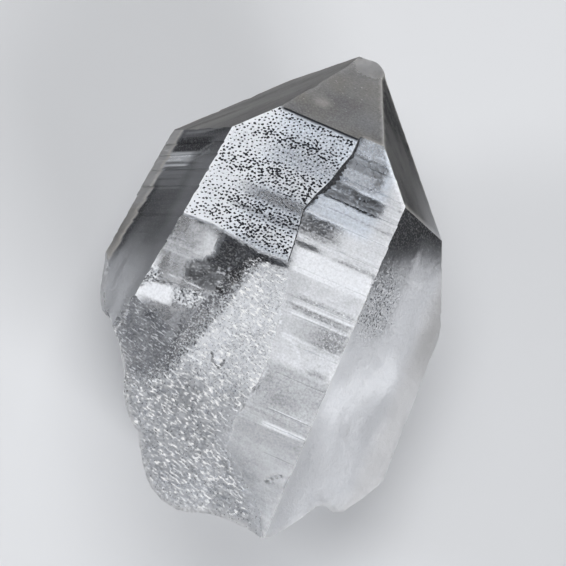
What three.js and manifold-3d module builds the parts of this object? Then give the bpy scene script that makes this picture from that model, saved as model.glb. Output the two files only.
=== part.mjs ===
import * as THREE from 'three';
import { ConvexGeometry } from 'three/addons/geometries/ConvexGeometry.js';
import { ImprovedNoise } from 'three/addons/math/ImprovedNoise.js';
import { mergeVertices } from 'three/addons/utils/BufferGeometryUtils.js';
import Module from 'manifold-3d';

// A single quartz point with a broken base, in millimetres.
// It lies on its back prism face. +Y runs along the crystal's long axis to the tip,
// +X is its right side and +Z its front prism face. The origin is under the middle of it.

const wasm = await Module();
wasm.setup();

// Driving sizes
const THICKNESS = 38;
const MIDDLE_HEIGHT = THICKNESS / 2;
const PYRAMID_SLOPE = 51.79;
const LAYER_HEIGHT = 0.45;
const BODY_REACH = 45;
const MIDDLE_X = 0.2;
const MIDDLE_Y = 0.26;
// How far a cutter stays outside the crystal where it takes nothing away.
const CLEAR = 1.2;

// Crystal faces. Azimuth turns about +Y from +Z towards +X, slope is the angle between the
// face's normal and +Y, and distance is measured from the middle of the crystal.
const FACES = {
  front: { azimuth: 0, slope: 90, distance: MIDDLE_HEIGHT },
  left: { azimuth: -60, slope: 86.0, distance: 23.5 },
  right: { azimuth: 60, slope: 89.1, distance: 22.4 },
  backLeft: { azimuth: -120, slope: 86.0, distance: 24.1 },
  backRight: { azimuth: 120, slope: 87.0, distance: 24.6 },
  back: { azimuth: 180, slope: 90, distance: MIDDLE_HEIGHT },
  leftBevel: { azimuth: -86, slope: 86.0, distance: 26.6 },
  rightBevel: { azimuth: 78, slope: 88.0, distance: 25.6 },
  tipFront: { azimuth: 0, slope: PYRAMID_SLOPE, distance: 29.9 },
  tipLeft: { azimuth: -60, slope: PYRAMID_SLOPE, distance: 28.4 },
  tipRight: { azimuth: 60, slope: PYRAMID_SLOPE, distance: 27.8 },
  tipBackRight: { azimuth: 120, slope: PYRAMID_SLOPE, distance: 21.9 },
  tipBackLeft: { azimuth: -120, slope: PYRAMID_SLOPE, distance: 28.4 },
  tipBack: { azimuth: 180, slope: PYRAMID_SLOPE, distance: 20.3 },
  tipFacet: { azimuth: 0, slope: 38, distance: 34.4 },
  base: { azimuth: 0, slope: 180, distance: BODY_REACH },
};

// Growth steps that cross a face like the rungs of a ladder. y is where the steep side is,
// from and to are places across the face, depth is at the end called to, and run is the
// length of the gentle side, towards the base. RUNG_START is the share of the depth at from,
// RUNG_STEEP is how far the steep side leans for its depth, and RUNG_RISE is how far the
// cutting wedge stands out of the face.
const RUNG_START = 0.55;
const RUNG_STEEP = 0.25;
const RUNG_RISE = 0.4;
const FRONT_RUNGS = [
  { y: 20.2, from: 4.8, to: 17, depth: 0.25, run: 1.5 },
  { y: 17.2, from: 4.2, to: 18, depth: 0.3, run: 2.2 },
  { y: 13.7, from: 2.6, to: 18, depth: 0.4, run: 2.3 },
  { y: 10.1, from: 1.6, to: 18, depth: 0.45, run: 2.6 },
  { y: 6.4, from: 2.6, to: 19, depth: 0.3, run: 2.0 },
  { y: 1.8, from: 3.4, to: 19, depth: 0.25, run: 2.6 },
  { y: -2.6, from: 4.8, to: 19, depth: 0.4, run: 1.5 },
  { y: -5.2, from: 5.8, to: 19, depth: 0.35, run: 1.8 },
  { y: -9.4, from: 6.4, to: 19, depth: 0.25, run: 2.6 },
  { y: -14.2, from: 7.0, to: 20, depth: 0.3, run: 2.2 },
  { y: -19.7, from: 8.2, to: 20, depth: 0.35, run: 1.4 },
  { y: -22.0, from: 8.4, to: 20, depth: 0.4, run: 1.6 },
  { y: -26.0, from: 10.0, to: 20, depth: 0.25, run: 2.0 },
  { y: -1.6, from: -10.5, to: -20, depth: 0.35, run: 2.4 },
  { y: -8.0, from: -10.8, to: -20, depth: 0.5, run: 4.6 },
];
const LEFT_RUNGS = [
  { y: 15.0, from: 10, to: -16, depth: 0.3, run: 1.1 },
  { y: 12.9, from: 10, to: -16, depth: 0.35, run: 1.4 },
  { y: 10.2, from: 10, to: -16, depth: 0.3, run: 1.2 },
  { y: 7.2, from: 10, to: -16, depth: 0.4, run: 2.6 },
  { y: 2.4, from: 10, to: -16, depth: 0.3, run: 1.8 },
  { y: -2.5, from: 10, to: -16, depth: 0.4, run: 3.0 },
  { y: -7.4, from: 10, to: -16, depth: 0.35, run: 2.0 },
];
const RIGHT_RUNGS = [
  { y: 7.6, from: -4, to: 16, depth: 0.25, run: 3.4 },
  { y: -4.4, from: -1, to: 16, depth: 0.35, run: 4.2 },
  { y: -15.8, from: 1, to: 16, depth: 0.4, run: 4.6 },
];
const BACK_SIDE_RUNGS = [
  { y: 7.4, from: -11, to: 14, depth: 0.4, run: 1.8 },
  { y: 1.0, from: 9, to: -15, depth: 0.45, run: 2.6 },
  { y: -5.6, from: -8, to: 14, depth: 0.35, run: 1.6 },
  { y: -10.4, from: 9, to: -15, depth: 0.5, run: 3.0 },
  { y: -17.6, from: -9, to: 14, depth: 0.4, run: 2.2 },
];
const BACK_RUNGS = [
  { y: 3.2, from: -5, to: 20, depth: 0.35, run: 1.6 },
  { y: -3.4, from: 4, to: -20, depth: 0.4, run: 2.2 },
  { y: -9.8, from: -2, to: 20, depth: 0.35, run: 1.8 },
  { y: -16.6, from: 5, to: -20, depth: 0.45, run: 2.4 },
];

// The raised layer on the upper left of the front face: [x, y] round its free edge, and then
// past the crystal's own edges, which finish it.
const LAYER_OUTLINE = [
  [3.9, 27], [3.9, 21.0], [3.2, 18.6], [2.6, 15.8], [1.5, 13.2], [0.7, 10.3],
  [1.3, 6.2], [1.8, 1.9], [-3.1, 1.7], [-8.8, 2.3], [-10.9, 2.6], [-16.2, 2.3],
  [-22, 2.3], [-22, 27],
];

// The etched part of the front face lies left of ETCH_EDGE. A valley runs down it on GROOVE.
const ETCH_EDGE = [
  [1.8, 1.6], [3.4, -6.0], [4.7, -13.8], [3.7, -22.8], [4.0, -26.9],
  [10.8, -32.0], [14.2, -35.4], [18.0, -42.0],
];
const GROOVE = [[-2.2, 1.2], [-3.6, -3.6], [-5.2, -9.3], [-6.8, -15.1], [-8.2, -21.0], [-11.0, -29.0]];
const ETCH_CELL = 1.05;
const ETCH_FIRST_DROP = 0.35;
const ETCH_SLOPE = 0.075;
const ETCH_ROUGHNESS = 0.75;
const GROOVE_DEPTH = 1.5;
const GROOVE_HALF_WIDTH = 1.5;
const VALLEY_DEPTH = 1.6;
const VALLEY_TOP = -13.4;
const ETCH_TOP = 1.0;
const BANK_SLOPE = 0.8;
const LOWER_LEFT_SLOPE = 0.14;
const LEFT_FACE_SHARE = 0.35;
const ETCH_FIELD = { left: -26, right: 19, low: -43, high: 4 };

// The broken base, as it shows from the front: [x, y] from the left side round to the right.
const BASE_OUTLINE = [
  [-33, 3], [-27.5, -1.5], [-24.3, -7.5], [-22.6, -13.5], [-20.9, -17.0], [-18.2, -18.6],
  [-15.5, -20.8], [-13.3, -24.2], [-12.0, -27.6], [-9.7, -30.6], [-7.8, -31.8],
  [-6.6, -34.5], [-4.0, -37.6], [-1.0, -39.2], [2.8, -39.5], [6.8, -37.9],
  [10.2, -37.5], [13.7, -37.6], [15.6, -38.1], [17.2, -36.4], [19.4, -33.1], [20.7, -30.4],
  [22.0, -30.0], [23.6, -30.6], [24.8, -29.8], [26.5, -26.9], [27.8, -24.6], [33, -16],
];
const BASE_CELL = 1.3;
const BASE_LEAN_ACROSS = 0.1;
const BASE_FAN = 0.0025;
const BASE_LEAN_BACK = 0.135;
const BASE_UNDERCUT = 0.22;
const RIGHT_EDGE = 15.3;
const BASE_WAVE = 1.5;
const BASE_CHIP = 2.6;
const BASE_FIELD = { width: 64, height: 40, depth: 44 };

// Small helpers

const noise = new ImprovedNoise();

function roughness(x, y, seed) {
  return noise.noise(x, y, seed) + 0.5 * noise.noise(2.1 * x + 7.3, 2.1 * y - 3.9, seed + 4.7);
}

// Goes smoothly from 0 at start to 1 at end, where end may be the lower of the two.
function smooth(start, end, value) {
  return THREE.MathUtils.smoothstep((value - start) / (end - start), 0, 1);
}

// Height of a broken line of [x, y] points above a place on X.
function lineAt(points, x) {
  if (x <= points[0][0]) return points[0][1];
  for (let i = 1; i < points.length; i++) {
    const [x0, y0] = points[i - 1];
    const [x1, y1] = points[i];
    if (x <= x1) return y0 + (y1 - y0) * (x - x0) / (x1 - x0);
  }
  return points[points.length - 1][1];
}

// Place across a broken line that runs steadily down the front face, at a height on Y.
function acrossAt(points, y) {
  return lineAt(points.map(([px, py]) => [-py, px]), -y);
}

// Distance from a broken line that runs steadily down the front face, positive on its left.
function leftOf(points, x, y) {
  let nearest = Infinity;
  for (let i = 1; i < points.length; i++) {
    const [x0, y0] = points[i - 1];
    const [x1, y1] = points[i];
    const square = (x1 - x0) ** 2 + (y1 - y0) ** 2;
    const t = THREE.MathUtils.clamp(((x - x0) * (x1 - x0) + (y - y0) * (y1 - y0)) / square, 0, 1);
    nearest = Math.min(nearest, Math.hypot(x - x0 - t * (x1 - x0), y - y0 - t * (y1 - y0)));
  }
  return x < acrossAt(points, y) ? nearest : -nearest;
}

function toSolid(geometry) {
  const bare = geometry.clone();
  bare.deleteAttribute('normal');
  bare.deleteAttribute('uv');
  const merged = mergeVertices(bare, 1e-5);
  const vertProperties = new Float32Array(merged.attributes.position.array);
  const triVerts = new Uint32Array(merged.index.array);
  return new wasm.Manifold(new wasm.Mesh({ numProp: 3, vertProperties, triVerts }));
}

function toGeometry(solid) {
  const mesh = solid.getMesh();
  const geometry = new THREE.BufferGeometry();
  geometry.setAttribute('position', new THREE.BufferAttribute(mesh.vertProperties, 3));
  geometry.setIndex(new THREE.BufferAttribute(mesh.triVerts, 1));
  geometry.computeVertexNormals();
  return geometry;
}

// The ideal crystal

function facePlane({ azimuth, slope, distance }) {
  const a = THREE.MathUtils.degToRad(azimuth);
  const s = THREE.MathUtils.degToRad(slope);
  const normal = new THREE.Vector3(Math.sin(s) * Math.sin(a), Math.cos(s), Math.sin(s) * Math.cos(a));
  const offset = distance + normal.z * MIDDLE_HEIGHT;
  return { normal, offset };
}

function meetingPoint(p, q, r) {
  const qr = new THREE.Vector3().crossVectors(q.normal, r.normal);
  const rp = new THREE.Vector3().crossVectors(r.normal, p.normal);
  const pq = new THREE.Vector3().crossVectors(p.normal, q.normal);
  const volume = p.normal.dot(qr);
  if (Math.abs(volume) < 1e-6) return null;
  qr.multiplyScalar(p.offset).addScaledVector(rp, q.offset).addScaledVector(pq, r.offset);
  return qr.divideScalar(volume);
}

// The convex body that a set of planes leaves.
function bodyBetween(planes) {
  const corners = [];
  for (let i = 0; i < planes.length; i++) {
    for (let j = i + 1; j < planes.length; j++) {
      for (let k = j + 1; k < planes.length; k++) {
        const point = meetingPoint(planes[i], planes[j], planes[k]);
        if (!point) continue;
        const inside = planes.every((plane) => plane.normal.dot(point) <= plane.offset + 1e-6);
        const fresh = corners.every((corner) => corner.distanceTo(point) > 1e-4);
        if (inside && fresh) corners.push(point);
      }
    }
  }
  return toSolid(new ConvexGeometry(corners));
}

function crystalBody() {
  const front = { ...FACES.front, distance: FACES.front.distance + LAYER_HEIGHT };
  const faces = Object.values({ ...FACES, front });
  return bodyBetween(faces.map(facePlane));
}

// What is taken away round the raised layer, down to the front face.
function aroundLayer() {
  const slabHeight = 4;
  const slab = new THREE.BoxGeometry(3 * BODY_REACH, 3 * BODY_REACH, slabHeight);
  slab.translate(0, 0, THICKNESS + slabHeight / 2);
  const outline = new THREE.Shape(LAYER_OUTLINE.map(([x, y]) => new THREE.Vector2(x, y)));
  const layer = new THREE.ExtrudeGeometry(outline, { depth: slabHeight + 2 * CLEAR, bevelEnabled: false });
  layer.translate(0, 0, THICKNESS - CLEAR);
  return toSolid(slab).subtract(toSolid(layer));
}

// One rung: a wedge across the face, shallower where it starts.
function rung(face, { y, from, to, depth, run }) {
  const { normal } = facePlane(face);
  const azimuth = THREE.MathUtils.degToRad(face.azimuth);
  const across = new THREE.Vector3(Math.cos(azimuth), 0, -Math.sin(azimuth));
  const along = new THREE.Vector3().crossVectors(normal, across);
  const start = new THREE.Vector3(0, 0, MIDDLE_HEIGHT).addScaledVector(normal, face.distance);
  start.addScaledVector(along, (y - start.y) / along.y);
  const at = (u, v, w) => start.clone().addScaledVector(across, u).addScaledVector(along, v)
    .addScaledVector(normal, w);
  const section = (u, share) => [
    at(u, RUNG_STEEP * RUNG_RISE, RUNG_RISE),
    at(u, -RUNG_STEEP * depth * share, -depth * share),
    at(u, -run * share - run * RUNG_RISE / depth, RUNG_RISE),
  ];
  return toSolid(new ConvexGeometry([...section(from, RUNG_START), ...section(to, 1)]));
}

function rungs(face, list) {
  return list.map((item) => rung(face, item));
}

// Depth of the etched surface under the front face. Past its border the value is negative.
function etchDepth(x, y) {
  const intoEtch = leftOf(ETCH_EDGE, x, y);
  const pastGroove = leftOf(GROOVE, x, y);
  const ridges = roughness(0.24 * x - 0.06 * y, 0.14 * x + 0.55 * y, 1.3);
  const lowerLeft = LOWER_LEFT_SLOPE * Math.max(0, -17 - y) * smooth(2, -12, x);
  const hollow = Math.exp(-((pastGroove / GROOVE_HALF_WIDTH) ** 2)) * smooth(3, -5, y);
  const groove = (GROOVE_DEPTH + CLEAR) * hollow - CLEAR;
  const rough = ETCH_FIRST_DROP + ETCH_SLOPE * intoEtch + ETCH_ROUGHNESS * Math.abs(ridges);
  const intoValley = VALLEY_TOP - 0.25 * (x + 12) - y;
  const valleyFloor = VALLEY_DEPTH * smooth(-1, 6, intoValley) + 0.2 * ridges;
  const valley = Math.min(BANK_SLOPE * intoValley, valleyFloor);
  const surface = THREE.MathUtils.lerp(rough, valley, smooth(0.2, 1.8, pastGroove));
  const border = Math.min(intoEtch, ETCH_TOP - y) * BANK_SLOPE;
  return Math.max(-CLEAR, Math.min(border, Math.max(surface, groove) + lowerLeft));
}

// The left face falls away under the front face's plane, so the cut follows it down there.
function belowLeftFace(x, y) {
  const { normal, offset } = facePlane(FACES.left);
  const z = (offset - normal.x * x - normal.y * y) / normal.z;
  return THICKNESS - z;
}

// A closed block of cells, as a mesh whose corners can be moved.
function cellBlock(width, height, depth, columns, rows, layers) {
  const block = new THREE.BoxGeometry(width, height, depth, columns, rows, layers);
  block.deleteAttribute('normal');
  block.deleteAttribute('uv');
  return mergeVertices(block, 1e-5);
}

function etchedCutter() {
  const { left, right, low, high } = ETCH_FIELD;
  const columns = Math.round((right - left) / ETCH_CELL);
  const rows = Math.round((high - low) / ETCH_CELL);
  const block = cellBlock(right - left, high - low, 2, columns, rows, 1);
  const position = block.attributes.position;
  for (let i = 0; i < position.count; i++) {
    const x = position.getX(i) + (left + right) / 2;
    const y = position.getY(i) + (low + high) / 2;
    const isFloor = position.getZ(i) < 0;
    const depth = etchDepth(x, y);
    const followed = belowLeftFace(x, y) + LEFT_FACE_SHARE * depth;
    const floor = THICKNESS - (depth > 0 ? Math.max(depth, followed) : depth);
    position.setXYZ(i, x, y, isFloor ? floor : THICKNESS + 5 * CLEAR);
  }
  return toSolid(block);
}

// The broken base: how far it reaches at a place across it and a depth below the front.
function baseReach(x, depth) {
  const rightFaceDepth = Math.max(0, (x - RIGHT_EDGE) * Math.tan(Math.PI / 3));
  const inner = smooth(0, 8, depth - rightFaceDepth);
  const broad = 1.2 + Math.sin(0.21 * x + 0.17 * depth) + 0.6 * Math.sin(0.33 * depth - 0.12 * x);
  const chips = Math.abs(roughness(0.16 * x, 0.2 * depth, 8.2));
  const lean = BASE_LEAN_BACK * Math.max(depth, 0) + BASE_UNDERCUT * Math.max(depth - MIDDLE_HEIGHT, 0);
  const shifted = x + (BASE_LEAN_ACROSS - BASE_FAN * x) * depth;
  return lineAt(BASE_OUTLINE, shifted) + lean + inner * (BASE_WAVE * broad + BASE_CHIP * chips);
}

function baseCutter() {
  const { width, height, depth } = BASE_FIELD;
  const columns = Math.round(width / BASE_CELL);
  const layers = Math.round(depth / BASE_CELL);
  const block = cellBlock(width, height, depth, columns, 1, layers);
  const position = block.attributes.position;
  for (let i = 0; i < position.count; i++) {
    const x = position.getX(i);
    const z = position.getZ(i) + MIDDLE_HEIGHT;
    const isBreak = position.getY(i) > 0;
    position.setXYZ(i, x, isBreak ? baseReach(x, THICKNESS - z) : -BODY_REACH - height / 2, z);
  }
  return toSolid(block);
}

function quartzCrystal() {
  let crystal = crystalBody().subtract(aroundLayer());
  const cutters = [
    etchedCutter(),
    baseCutter(),
    ...rungs(FACES.front, FRONT_RUNGS),
    ...rungs(FACES.left, LEFT_RUNGS),
    ...rungs(FACES.right, RIGHT_RUNGS),
    ...rungs(FACES.backLeft, BACK_SIDE_RUNGS),
    ...rungs(FACES.backRight, BACK_SIDE_RUNGS),
    ...rungs(FACES.back, BACK_RUNGS),
  ];
  for (const cutter of cutters) crystal = crystal.subtract(cutter);
  const clearQuartz = new THREE.MeshStandardMaterial({ color: 0xe6e9ee, roughness: 0.12, metalness: 0 });
  const geometry = toGeometry(crystal);
  geometry.translate(-MIDDLE_X, -MIDDLE_Y, 0);
  const mesh = new THREE.Mesh(geometry, clearQuartz);
  mesh.name = 'quartz_crystal';
  return mesh;
}

const model = new THREE.Group();
model.add(quartzCrystal());

export default model;
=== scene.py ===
import math

import bmesh
import bpy
import numpy as np
from mathutils import Matrix, Vector, kdtree
from mathutils.geometry import delaunay_2d_cdt


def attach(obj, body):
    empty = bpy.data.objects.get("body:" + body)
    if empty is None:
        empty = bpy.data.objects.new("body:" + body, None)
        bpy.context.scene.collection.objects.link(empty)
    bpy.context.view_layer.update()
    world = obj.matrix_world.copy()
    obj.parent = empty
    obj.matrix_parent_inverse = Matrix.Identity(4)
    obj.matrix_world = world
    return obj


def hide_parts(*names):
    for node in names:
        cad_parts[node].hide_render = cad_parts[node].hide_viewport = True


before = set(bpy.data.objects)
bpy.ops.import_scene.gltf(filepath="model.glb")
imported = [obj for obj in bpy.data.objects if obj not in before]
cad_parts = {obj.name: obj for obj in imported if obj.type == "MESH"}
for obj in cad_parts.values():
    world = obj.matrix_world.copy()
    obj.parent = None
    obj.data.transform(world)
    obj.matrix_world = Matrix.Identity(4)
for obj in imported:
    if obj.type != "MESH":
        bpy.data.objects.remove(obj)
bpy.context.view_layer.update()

# A quartz point that lies on its back prism face. +Y runs along it to the tip, +X is its
# right side and +Z its front face. Blender works in metres; the sizes here are millimetres.
MM = 0.001
FRONT_HEIGHT = 38.0
# The side faces lean this many degrees from the front face.
SIDE_ANGLE = 60

# Camera: its place and its own three directions, and the lens that gives the photo's scale.
CAMERA_PLACE = (38.97, -70.34, 422.22)
CAMERA_RIGHT = (0.9127, 0.4084, -0.0142)
CAMERA_UP = (-0.3978, 0.8958, 0.1981)
CAMERA_BACK = (0.0937, -0.1752, 0.9801)
SENSOR = 36.0
FOCAL_PIXELS = 2600.0
PHOTO_WIDTH = 566

# How the fine surface is made from the solid. Points closer than WELD and faces flatter than
# FLAT_ANGLE are joined. An edge over CREASE_ANGLE is sharp. New points keep EDGE_MARGIN of
# their spacing from a face's edges.
WELD = 0.001
FLAT_ANGLE = 0.3
CREASE_ANGLE = 24
EDGE_MARGIN = 0.55
CDT_INSIDE_ONLY = 1
CDT_TOLERANCE = 1e-6

# How faces are told apart. Slope is the angle between a face's normal and +Y, and SIDE_SPREAD
# how far a side face may turn from its own direction.
SMALL_FACE = 2.2
TIP_SLOPE = 66
SIDE_SLOPES = (78, 94)
SIDE_SPREAD = 13
CHIP_SLOPES = (100, 145)
CHIP_AROUND = 130
LAYER_SIDE_TOP = 23
ETCHED_FLOOR = 20

# Rounds of smoothing: rough parts, the right face and the left one below EVEN_BELOW, and the
# etched part's border within BLEND_WIDTH.
ROUGH_ROUNDS = 5
EVEN_ROUNDS = 40
EVEN_BELOW = 5.5
BLEND_ROUNDS = 14
BLEND_WIDTH = 1.8

# Steps on the front face are lifted by a share of their depth, right of STEPS_FROM and on the
# plateau left of and below PLATEAU_CORNER. BORDER_FADE is for the lift beside the etched part.
STEP_LIFT = 0.55
STEPS_FROM = 3
PLATEAU_LIFT = 0.8
PLATEAU_CORNER = (-5, 1.6)
BORDER_FADE = 2.6
# The left face's plane.
LEFT_NORMAL = (-0.864, 0.07, 0.499)
LEFT_OFFSET = 33.0

# Relief fades out over RELIEF_FADE beside a sharp edge, which is rubbed down instead.
RELIEF_FADE = 0.7
WEAR = 0.02
WEAR_UNEVEN = 0.07
WEAR_NICKS = 0.2

# Regions of the surface.
REGION_COUNT = 13
(
    LAYER, STEP, RIM, FRONT, ETCHED, LEFT, RIGHT, BACK_SIDE, BACK, TIP_FRONT, TIP_SIDE, TIP_BACK, BREAK,
) = range(REGION_COUNT)

# Spacing of the fine surface's points in each region: across the crystal and along it.
SPACING = {
    LAYER: (0.6, 0.5), STEP: (0.4, 0.4), RIM: (0.4, 0.4), FRONT: (0.5, 0.2), ETCHED: (0.25, 0.25),
    LEFT: (0.7, 0.26), RIGHT: (0.5, 0.4), BACK_SIDE: (0.9, 0.4), BACK: (1.0, 0.5),
    TIP_FRONT: (0.6, 0.6), TIP_SIDE: (0.8, 0.8), TIP_BACK: (0.9, 0.9), BREAK: (0.4, 0.4),
}

# The edge between the front face and the tip's right side, [x, y], beside which a painted highlight runs.
TIP_EDGE = [(8.4, 23.2), (8.9, 22.6), (10.4, 20.8), (12.2, 18.9), (14.6, 16.3)]

# Lines on the front face, [x, y]. The etched part lies left of ETCH_EDGE, and the groove is in it.
ETCH_EDGE = [
    (1.6, 1.3), (3.2, -6.3), (4.5, -14.1), (3.5, -23.1), (3.8, -27.2), (10.6, -32.3), (17.8, -42.3),
]
GROOVE = [(-3.0, -1.5), (-4.6, -6.0), (-5.6, -10.5), (-7.0, -15.4), (-8.4, -21.3), (-9.6, -25.0)]
# The base's edge below the etched part.
BASE_EDGE = [
    (-8.4, -30.5), (-7.5, -32.3), (-5.6, -35.8), (-2.0, -38.7), (3.0, -39.2), (7.4, -37.9), (15.2, -37.9),
]
# The smooth valley left of the groove starts at this height, [x, y] and rise over run.
VALLEY_START = (-12.2, -13.7)
VALLEY_TILT = 0.25
# The foot of the raised layer's right side.
LAYER_FOOT = [(3.8, 23.8), (3.6, 20.7), (3.0, 18.3), (2.4, 15.5), (1.3, 13.0), (0.5, 10.0)]
# Rings on the front face, [x, y]: the clear window under the layer, the bright rectangle, whose
# milky white is a painted reflection of a facet, and the grainy places beside it.
WINDOW = [
    (-9.3, 2.1), (1.7, 2.1), (1.7, 0.9), (-1.5, 0.3), (-3.2, -1.2), (-4.4, -4.5), (-5.0, -7.0),
    (-7.5, -7.3), (-11.8, -6.6), (-12.4, -4.6), (-11.0, -3.6), (-9.4, -2.2),
]
PAINTED_REFLECTION_PATCH = [(-17.2, -11.2), (-16.0, -9.5), (-12.8, -8.9), (-11.8, -10.5), (-12.2, -11.8), (-17.1, -11.9)]
SPARKLE_PATCH = [(-12.4, -8.9), (-8.2, -8.0), (-6.9, -8.8), (-7.0, -9.9), (-8.5, -10.8), (-11.7, -10.9)]
GRAINY_PATCH = [(-18.8, -8.2), (-15.9, -6.9), (-15.2, -8.8), (-16.0, -9.4), (-17.6, -10.6)]

# The slope on the right side of the raised layer, painted dark as shade: [y, width] from its upper end down.
SLOPE_WIDTHS = [
    (24.0, 0.16), (22.7, 0.24), (21.0, 0.4), (19.3, 0.65), (16.2, 0.85), (14.4, 0.8), (13.2, 0.6),
    (11.7, 0.28), (10.2, 0.2), (8.1, 0.15), (2.0, 0.13),
]
RIM_WIDTH = 0.3

# The dark line along the layer's upper edge: from and to on X, its width and its points' spacing.
TOP_LINE = (-9.2, 3.8)
TOP_LINE_WIDTH = 0.28
TOP_LINE_STEP = 0.3

# The hollow under the layer: its greatest depth, and how far down the face it reaches.
HOLLOW_DEPTH = 1.25
HOLLOW_LENGTH = 8.5

# The rounded apex: how far it is filled out, between which X, from and to which Y, and its end.
APEX_FILL = 0.6
APEX_SPAN = (-1.3, 2.3)
APEX_FADE = (36.3, 38.4)
APEX_TOP = 39.24

# The edge between the tip's left face and the back: a point on it and its direction.
TIP_LEFT_PLACE = (-24.9, 18.0, 19.75)
TIP_LEFT_DIRECTION = (0.7276, 0.6386, 0.2546)

# Pits in the raised layer. Gaps and half lengths are where they are sparse and crowded, and
# turns are their mean and spread in degrees. PIT_FLOOR is the floor's share of a pit.
PIT_TRIES = 16000
PIT_FIELD = ((-16.9, 3.8), (1.9, 23.9))
PIT_GAPS = (0.6, 0.4)
PIT_LENGTHS = (0.1, 0.235)
PIT_ROUNDNESS = 0.62
PIT_TURNS = (22, 25)
PIT_CORNERS = 7
PIT_FLOOR = 0.6
PIT_DEPTH = 0.16

# Small helpers

def smooth(start, end, value):
    """Goes smoothly from 0 at start to 1 at end, where end may be the lower of the two."""
    t = np.clip((value - start) / (end - start), 0, 1)
    return t * t * (3 - 2 * t)


def between(value, low, high, soft):
    """1 between low and high, fading to 0 over soft on both sides."""
    return smooth(low - soft, low + soft, value) * smooth(high + soft, high - soft, value)


def mix(a, b, share):
    return a + (b - a) * share


def noise(points, seed):
    """Smooth noise from -1 to 1 with one hump to a unit."""
    size = 32
    lattice = np.random.default_rng(seed).random((size, size, size)) * 2 - 1
    cell = np.floor(points).astype(int)
    part = points - cell
    part = part * part * part * (part * (part * 6 - 15) + 10)
    total = np.zeros(len(points))
    for corner in np.ndindex(2, 2, 2):
        x, y, z = ((cell + corner) % size).T
        total += np.prod(np.where(corner, part, 1 - part), axis=1) * lattice[x, y, z]
    return total


def cloud(points, size, seed, octaves=3):
    """Noise of several sizes, the largest of which is size (one number or three) across."""
    total = np.zeros(len(points))
    for octave in range(octaves):
        total += noise(points / np.array(size) * 2.0 ** octave + 11.3 * octave, seed + octave) / 2.0 ** octave
    return total / 1.5


def left_of(line, x, y):
    """How far x lies to the left of a line that runs down the front face, at each y."""
    places, heights = np.transpose(line)
    return np.interp(-y, -heights, places) - x


def distance_to(line, x, y):
    """Distance to a broken line of [x, y] points."""
    nearest = np.full(len(x), np.inf)
    for (x0, y0), (x1, y1) in zip(line, line[1:]):
        square = max((x1 - x0) ** 2 + (y1 - y0) ** 2, 1e-12)
        t = np.clip(((x - x0) * (x1 - x0) + (y - y0) * (y1 - y0)) / square, 0, 1)
        nearest = np.minimum(nearest, np.hypot(x - x0 - t * (x1 - x0), y - y0 - t * (y1 - y0)))
    return nearest


def is_inside(ring, x, y):
    """Which points lie in a closed ring of [x, y] points."""
    crossings = np.zeros(len(x), bool)
    for (x0, y0), (x1, y1) in zip(ring, [*ring[1:], ring[0]]):
        if y1 != y0:
            crosses = (y0 > y) != (y1 > y)
            crossings ^= crosses & (x < x0 + (y - y0) * (x1 - x0) / (y1 - y0))
    return crossings


def depth_in(ring, x, y):
    """Distance to a closed ring of [x, y] points, above 0 inside it and below 0 outside."""
    gap = distance_to([*ring, ring[0]], x, y)
    return np.where(is_inside(ring, x, y), gap, -gap)


def patch(ring, x, y, soft):
    """1 inside a ring of [x, y] points and 0 outside, fading over soft on both sides."""
    return smooth(-soft, soft, depth_in(ring, x, y))


def across_side(points, side):
    """Place across the left face (side 1), up to the front, or the right one (-1), down from it."""
    return 0.5 * points[:, 0] + side * 0.866 * (points[:, 2] - FRONT_HEIGHT / 2)


# The fine surface

def welded_form(node):
    form = bmesh.new()
    form.from_mesh(node.data)
    bmesh.ops.scale(form, vec=(1 / MM, 1 / MM, 1 / MM), verts=form.verts)
    bmesh.ops.remove_doubles(form, verts=form.verts, dist=WELD)
    bmesh.ops.dissolve_limit(
        form, angle_limit=math.radians(FLAT_ANGLE), use_dissolve_boundaries=False,
        verts=form.verts, edges=form.edges,
    )
    form.normal_update()
    for elements in (form.verts, form.edges, form.faces):
        elements.index_update()
    return form


def into_valley(x, y):
    """How far a place lies below the valley's upper end."""
    return VALLEY_START[1] - VALLEY_TILT * (x - VALLEY_START[0]) - y


def etched_zone(x, y):
    """Above 0 in the etched part of the front side."""
    past_groove = left_of(GROOVE, x, y)
    return min(left_of(ETCH_EDGE, x, y), ETCH_EDGE[0][1] - y, max(2 - past_groove, into_valley(x, y)))


def region_of(face):
    normal = face.normal
    middle = face.calc_center_median()
    around = math.degrees(math.atan2(normal.x, normal.z))
    slope = math.degrees(math.acos(max(-1, min(1, normal.y))))
    area = face.calc_area()
    if middle.z > FRONT_HEIGHT - 0.05 and abs(normal.z) < 0.3 and middle.y < LAYER_SIDE_TOP:
        return RIM if normal.y < -0.6 else STEP
    if slope < TIP_SLOPE and area >= SMALL_FACE:
        if abs(around) < 30:
            return TIP_FRONT
        return TIP_SIDE if abs(around) < 90 else TIP_BACK
    on_side = abs(around + SIDE_ANGLE) < SIDE_SPREAD and SIDE_SLOPES[0] < slope < SIDE_SLOPES[1]
    is_cut = ETCHED_FLOOR < middle.z < FRONT_HEIGHT - 0.02 and normal.z > 0.3 and not on_side
    if is_cut and etched_zone(middle.x, middle.y) > -0.2:
        return ETCHED
    is_chip = CHIP_SLOPES[0] < slope < CHIP_SLOPES[1] and area < 3 * SMALL_FACE
    is_chip |= area < SMALL_FACE and (slope > CHIP_SLOPES[0] or abs(around) > CHIP_AROUND)
    if is_chip and middle.y < -2 and middle.z < FRONT_HEIGHT - 1:
        return BREAK
    beside_front = -60 < around < 0 and middle.x > 3 and middle.z > FRONT_HEIGHT - 3
    if abs(around) < 30 or beside_front:
        return LAYER if middle.z > FRONT_HEIGHT + 0.3 else FRONT
    if abs(around) > 150:
        return BACK
    if -95 < around < 0:
        return LEFT
    if 0 < around < 85:
        return RIGHT
    return BACK_SIDE


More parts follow.
